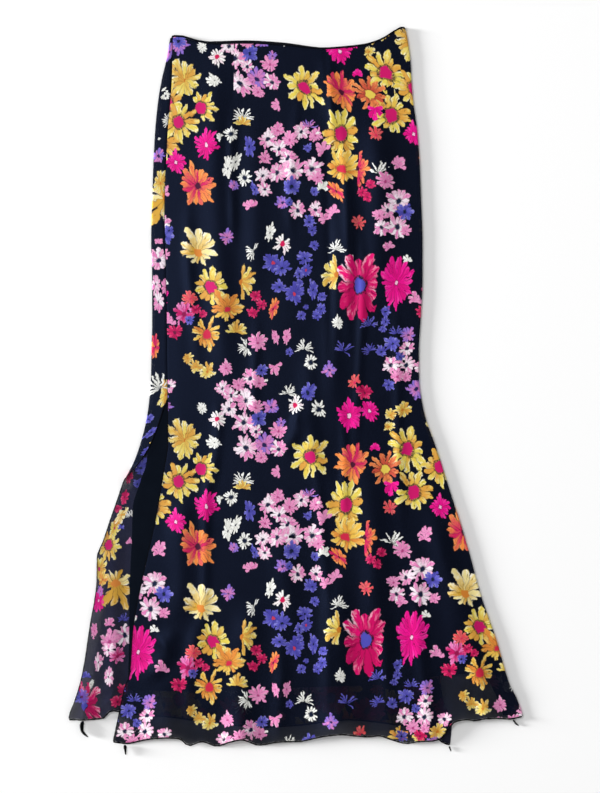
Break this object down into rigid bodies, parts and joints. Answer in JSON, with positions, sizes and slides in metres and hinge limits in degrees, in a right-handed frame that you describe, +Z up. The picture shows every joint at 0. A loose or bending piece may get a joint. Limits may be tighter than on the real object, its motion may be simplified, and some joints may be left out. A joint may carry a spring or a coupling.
{
  "type": "maxi skirt",
  "caption": "Long fitted trumpet-shaped skirt of printed georgette over a plain lining, laid flat, slit at the sides from the knee to a flared overlocked hem.",
  "frame": {"origin": "middle of the laid skirt's outline, at the surface that it lies on", "axes": "+Y from the hem towards the waist, +X to the right of the skirt as seen from above, +Z up out of the surface"},
  "size_m": [0.6801, 1.0911, 0.0129],
  "materials": {
    "printed_georgette": "matt, sheer, dark navy ground under a bright printed flower pattern",
    "plain_lining": "smooth dark navy plain weave",
    "waist_binding": "matt near-black narrow edge",
    "overlock_thread": "matt black spun thread"
  },
  "bodies": {
    "root": {"front_shell": "printed_georgette", "back_shell": "printed_georgette", "front_lining": "plain_lining", "back_lining": "plain_lining", "waist_binding_front": "waist_binding", "waist_binding_back": "waist_binding", "hem_roll_front": "overlock_thread", "hem_roll_back": "overlock_thread", "hem_tail_back_left": "overlock_thread", "hem_tail_front_left": "overlock_thread", "hem_tail_back_right": "overlock_thread", "hem_tail_front_right": "overlock_thread"}
  },
  "joints": []
}
